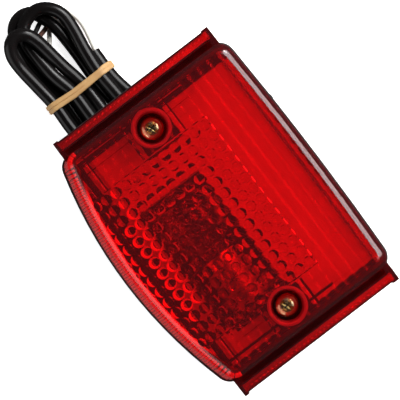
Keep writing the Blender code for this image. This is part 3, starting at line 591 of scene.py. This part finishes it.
def optics_block(low_z, top_z):
    """A block whose top is the inside of the lens face, a field of optic cells."""
    per_cell = 12
    counts = CELL_COUNTS
    origin = [centre - pitch * (count // 2 + 0.5)
              for centre, pitch, count in zip(CELL_CENTRE, CELL_PITCH, counts)]
    bm = bmesh.new()
    bmesh.ops.create_grid(bm, x_segments=counts[0] * per_cell, y_segments=counts[1] * per_cell, size=0.5)
    bm.verts.ensure_lookup_table()
    for vert in bm.verts:
        cell = [(vert.co[axis] + 0.5) * counts[axis] for axis in (0, 1)]
        reach = [(value - math.floor(value + 1e-6) - 0.5) * pitch
                 for value, pitch in zip(cell, CELL_PITCH)]
        vert.co.x = origin[0] + cell[0] * CELL_PITCH[0]
        vert.co.y = origin[1] + cell[1] * CELL_PITCH[1]
        middle = [start + (math.floor(value + 1e-6) + 0.5) * pitch
                  for start, value, pitch in zip(origin, cell, CELL_PITCH)]
        vert.co.z = top_z - min(optics_drop(*reach, *middle), OPTICS_DEPTH)
    rim = [e for e in bm.edges if e.is_boundary]
    walls = bmesh.ops.extrude_edge_only(bm, edges=rim)["geom"]
    lowered = [g for g in walls if isinstance(g, bmesh.types.BMVert)]
    for vert in lowered:
        vert.co.z = low_z
    bmesh.ops.contextual_create(bm, geom=[g for g in walls if isinstance(g, bmesh.types.BMEdge)
                                          and all(v in lowered for v in g.verts)])
    bmesh.ops.recalc_face_normals(bm, faces=bm.faces)
    return bm


def panel_prism(corners, ends, side):
    """A prism along Y from corners (x, z) of the +X side, mirrored for side -1."""
    ring = [(side * x, z) for x, z in corners]
    if side > 0:
        ring.reverse()
    return loft([[(x, end, z) for x, z in ring] for end in ends])


def make_lens():
    """Red cover with a rounded rim, optic cells, screw wells and an upright reflex panel at each end."""
    rim = LENS_FACE_Z - LENS_WALL_TOP_Z
    rings = [lens_outline(0.0, LENS_BASE_Z)]
    rim_steps = 16
    for step in range(rim_steps + 1):
        angle = math.pi / 2 * step / rim_steps
        rings.append(lens_outline(rim * (1 - math.cos(angle)), LENS_WALL_TOP_Z + rim * math.sin(angle),
                                  RIM_CORNER_SHARE))
    lens = loft(rings)
    base, top = LENS_BASE_Z, PANEL_TOP_Z
    edge, end = PANEL_EDGE_X, TAB_EDGE_X
    root = HALF_LENGTH - 2.0
    inside = edge - PANEL_WIDTH
    web = base + 5.0
    upright = ((root, base), (edge, base), (edge, top - 2.4), (inside, top), (inside, web), (root, web))
    tab = ((root, base), (end, base), (end, top - 2.0), (inside + 0.8, top + 1), (root, top + 1))
    hollow = ((inside + 0.5, base - 1), (edge - 0.7, base - 1), (edge - 0.7, top - 3.6),
              (inside + 0.5, top - 1.6))
    low, high = PANEL_Y
    for side in (-1, 1):
        lens = boolean(lens, "UNION", panel_prism(upright, (low + 1, high - 1), side))
        lens = boolean(lens, "UNION", panel_prism(tab, (low, low + 2.1), side))
        lens = boolean(lens, "UNION", panel_prism(tab, (high - 3.0, high), side))
        lens = boolean(lens, "DIFFERENCE", panel_prism(hollow, (low + 1.1, high - 1.3), side))
    for side in (-1, 1):
        centre = (side * SCREW_X, 0)
        lens = boolean(lens, "DIFFERENCE", cone((WELL_FLOOR_RADIUS, WELL_MOUTH_RADIUS + 0.08),
                                                (WELL_FLOOR_Z, LENS_FACE_Z + 1), centre))
    inner = LENS_FACE_Z - FACE_THICKNESS
    cavity = loft([
        lens_outline(LENS_WALL, LENS_BASE_Z - 1), lens_outline(LENS_WALL, inner - 1.2),
        lens_outline(LENS_WALL + 0.4, inner - 0.3), lens_outline(LENS_WALL + 1.1, inner + 0.8)])
    cavity = boolean(cavity, "INTERSECT", optics_block(LENS_BASE_Z - 2, OPTICS_Z))
    for side in (-1, 1):
        centre = (side * SCREW_X, 0)
        tube = cone((WELL_TUBE_RADIUS - 0.5, WELL_TUBE_RADIUS),
                    (WELL_FLOOR_Z - WELL_SEAT, LENS_FACE_Z + 2), centre)
        cavity = boolean(cavity, "DIFFERENCE", tube)
    lens = boolean(lens, "DIFFERENCE", cavity)
    for side in (-1, 1):
        lens = boolean(lens, "DIFFERENCE", cone((2.8, 2.8), (LENS_BASE_Z, WELL_FLOOR_Z + 1),
                                                (side * SCREW_X, 0)))
    piece = add_piece("lens_shell", lens, "lens", RED_LENS, ["lens"])
    piece.data.set_sharp_from_angle(angle=math.radians(22))


def make_reflex_backing(word, side):
    """Prism strip in the hollow of an end panel, with a row of pale slanted ovals along its top: painted
    glints of the reflex prisms.
    """
    edge, top = PANEL_EDGE_X, PANEL_TOP_Z
    low, high = PANEL_Y
    shape = ((edge - 3.7, 33.0), (edge - 0.9, 33.0), (edge - 0.9, top - 4.6), (edge - 3.7, top - 2.9))
    strip = panel_prism(shape, (low + 1.5, high - 1.7), side)
    add_piece(f"reflex_strip_{word}", strip, "lens", STRIP_PLASTIC, ["lens"])
    count = 34
    dots = bmesh.new()
    for i in range(count):
        share = (i + 0.5) / count
        y = low + 4.0 + (high - low - 9.0) * share
        size = 0.62 if i % 2 else 0.46
        made = bmesh.ops.create_uvsphere(dots, u_segments=14, v_segments=8, radius=size)["verts"]
        turn = Matrix.Rotation(math.radians(-32 * side), 4, "Z") @ Matrix.Diagonal((0.75, 1.3, 0.8, 1.0))
        spot = Matrix.Translation((side * (edge - 1.9), y, top - 4.2))
        bmesh.ops.transform(dots, matrix=spot @ turn, verts=made)
    add_piece(f"reflex_glint_dots_{word}", dots, "lens", PAINTED_GLINT_DOTS, ["lens"])


def make_glowing_well_collar(word, side):
    """A ring inside the tube round a screw well that glows red: a painted glow of light caught in the
    tube wall.
    """
    ring = cone((WELL_TUBE_RADIUS - 0.6, WELL_TUBE_RADIUS - 0.3), (WELL_FLOOR_Z + 4.5, LENS_FACE_Z - 1.2),
                (side * SCREW_X, 0))
    bore = cone((WELL_FLOOR_RADIUS + 0.7, WELL_MOUTH_RADIUS + 0.35), (WELL_FLOOR_Z - 2, LENS_FACE_Z),
                (side * SCREW_X, 0))
    add_piece(f"glowing_well_collar_{word}", boolean(ring, "DIFFERENCE", bore), "lens", GLOWING_COLLAR_PLASTIC,
              ["lens"])


def spread_along(points, pitch):
    """Points a pitch apart along a chain of points."""
    found = [points[0]]
    carried = 0.0
    for a, b in zip(points, points[1:]):
        length = (b - a).length
        reach = pitch - carried
        while reach < length:
            found.append(a.lerp(b, reach / length))
            reach += pitch
        carried = length - (reach - pitch)
    return found


def make_wall_ribs():
    """Fine upright ribs on the inside of the lens wall along the bowed side and round its corners, with a
    painted red glow for the bright band that wall shows.
    """
    low_z, high_z = LENS_BASE_Z + 1.2, LENS_FACE_Z - 3.6
    feet = spread_along([Vector(p) for p in lens_outline(LENS_WALL - 0.2, low_z) if p[1] < -32.5], 1.25)
    heads = [Vector(p) for p in lens_outline(LENS_WALL - 0.2, high_z) if p[1] < -28.0]
    ribs = bmesh.new()
    for foot in feet:
        share = (foot.x + HALF_LENGTH) / (2 * HALF_LENGTH)
        target = Vector((foot.x * 0.99, foot.y + 2.6 - 1.4 * abs(2 * share - 1) ** 4))
        head = min(heads, key=lambda p: (p.xy - target).length)
        head = Vector((target.x, head.y, high_z)) if abs(foot.x) < 48 else head
        stem = bmesh.ops.create_cone(ribs, cap_ends=True, segments=10, radius1=0.5, radius2=0.5,
                                     depth=(head - foot).length)["verts"]
        lean = (head - foot).to_track_quat("Z", "Y").to_matrix().to_4x4()
        bmesh.ops.transform(ribs, matrix=Matrix.Translation((foot + head) / 2) @ lean, verts=stem)
    add_piece("wall_ribs", ribs, "lens", GLOWING_RIB_PLASTIC, ["lens"])


def make_painted_glints():
    """Glowing crescents under the domes next to the curved side: painted glints where guided light comes
    out of them.
    """
    bm = bmesh.new()
    steps, gap, thickness = 20, 0.1, 0.2
    for row, columns, span in GLINT_ROWS:
        for column in range(*columns):
            middle = [centre + count * pitch
                      for centre, count, pitch in zip(CELL_CENTRE, (column, row), CELL_PITCH)]
            rings = []
            for step in range(steps + 1):
                share = step / steps * 2 - 1
                angle = math.radians(-90 + span * share)
                inner = GLINT_REACH - 0.25 - 1.05 * math.cos(share * math.pi / 2)
                drop = dome_drop(inner)
                section = ((GLINT_REACH, 2 * gap), (inner, drop + gap), (inner, drop + gap + thickness),
                           (GLINT_REACH, 2 * gap + thickness))
                rings.append([bm.verts.new((middle[0] + reach * math.cos(angle),
                                            middle[1] + reach * math.sin(angle),
                                            OPTICS_Z - max(depth, 2 * gap)))
                              for reach, depth in section])
            for near, far in zip(rings, rings[1:]):
                for i in range(4):
                    bm.faces.new((near[i], near[(i + 1) % 4], far[(i + 1) % 4], far[i]))
            bm.faces.new(rings[0])
            bm.faces.new(rings[-1])
    bmesh.ops.recalc_face_normals(bm, faces=bm.faces)
    add_piece("lens_painted_glints", bm, "lens", PAINTED_GLINT_PLASTIC, ["lens"])


make_lens()
make_wall_ribs()
make_painted_glints()
for side_word, side_sign in (("left", -1), ("right", 1)):
    make_reflex_backing(side_word, side_sign)
    make_glowing_well_collar(side_word, side_sign)


# ---- lens screws ----

def make_lens_screw(word, side):
    """Pan-head screw with a domed head, a chunky cross recess and a rolled thread."""
    rings = [(1.7, SCREW_TIP_Z), (2.05, SCREW_TIP_Z + 0.5)]
    threads = 18
    for i in range(threads):
        z = SCREW_TIP_Z + 0.75 + 0.5 * i
        rings += [(2.4, z), (2.05, z + 0.25)]
    rings += [(2.4, SCREW_TIP_Z + 10.2), (2.4, SCREW_HEAD_Z[0]),
              (SCREW_HEAD_RADIUS - 0.15, SCREW_HEAD_Z[0]), (SCREW_HEAD_RADIUS, SCREW_HEAD_Z[0] + 0.15)]
    low, high = SCREW_HEAD_Z[0] + 1.2, SCREW_HEAD_Z[1]
    steps = 12
    for i in range(steps):
        angle = math.pi / 2 * i / steps
        rings.append((SCREW_HEAD_RADIUS * math.cos(angle) ** 0.8, low + (high - low) * math.sin(angle)))
    sides = 56
    turns = [2 * math.pi * i / sides for i in range(sides)]
    screw = loft([[(side * SCREW_X + r * math.cos(t), r * math.sin(t), z) for t in turns]
                  for r, z in rings])
    for quarter in (0, 1):
        angle = math.radians(SCREW_RECESS_ANGLE + 90 * quarter)
        along, across = (math.cos(angle), math.sin(angle)), (-math.sin(angle), math.cos(angle))
        corners = []
        for half_length, half_width, z in ((1.7, 0.4, high - 2.0), (3.1, 1.05, high + 0.6)):
            corners.append([(side * SCREW_X + u * half_length * along[0] + v * half_width * across[0],
                             u * half_length * along[1] + v * half_width * across[1], z)
                            for u, v in ((-1, -1), (1, -1), (1, 1), (-1, 1))])
        screw = boolean(screw, "DIFFERENCE", loft(corners))
    piece = add_piece(f"lens_screw_{word}_fine", screw, f"screw_{word}", YELLOW_ZINC,
                      [f"lens_screw_{word}"])
    piece.data.set_sharp_from_angle(angle=math.radians(38))
    bevel = piece.modifiers.new("ease", "BEVEL")
    bevel.width = 0.2 * MM
    bevel.segments = 2
    bevel.limit_method = "ANGLE"
    bevel.angle_limit = math.radians(42)
    bevel.harden_normals = True


make_lens_screw("left", -1)
make_lens_screw("right", 1)


# ---- CAD nodes, with their edges eased ----

def refine(node, ease=0.0, rides=True):
    """A copy of a CAD node with smooth round faces and softened edges, which stands for the node."""
    bm = bmesh.new()
    bm.from_mesh(NODES[node].data)
    bmesh.ops.remove_doubles(bm, verts=bm.verts, dist=1e-6)
    bmesh.ops.dissolve_limit(bm, angle_limit=math.radians(0.5), verts=bm.verts, edges=bm.edges)
    bmesh.ops.scale(bm, vec=(1 / MM, 1 / MM, 1 / MM), verts=bm.verts)
    finish = FINISH_OF_SLOT[SLOT_OF[node]]
    piece = add_piece(f"{node}_fine", bm, BODY_OF[node] if rides else None, finish, [node])
    piece.data.set_sharp_from_angle(angle=math.radians(30))
    if ease:
        bevel = piece.modifiers.new("ease", "BEVEL")
        bevel.width = ease * MM
        bevel.segments = 2
        bevel.limit_method = "ANGLE"
        bevel.angle_limit = math.radians(40)
        bevel.harden_normals = True
    return piece


MADE_ANEW = {"lens", "cable_lead", "cable_hank", "rubber_band", "lens_screw_left", "lens_screw_right"}
BENT_LEADS = {"lead_tail", "lead_stop"}
for cad_node in sorted(set(NODES) - MADE_ANEW - BENT_LEADS - {"socket_spring"}):
    refine(cad_node, 0.15)

# The spring gets a mesh of its own, and the two leads ride no body, their place baked in; in the part the
# spring shortens and the leads bend as the contact carrier is pushed back
spring = refine("socket_spring")
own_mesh(spring)
for cad_node in sorted(BENT_LEADS):
    bent_lead = refine(cad_node, rides=False)
    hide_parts(cad_node)
    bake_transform(bent_lead)
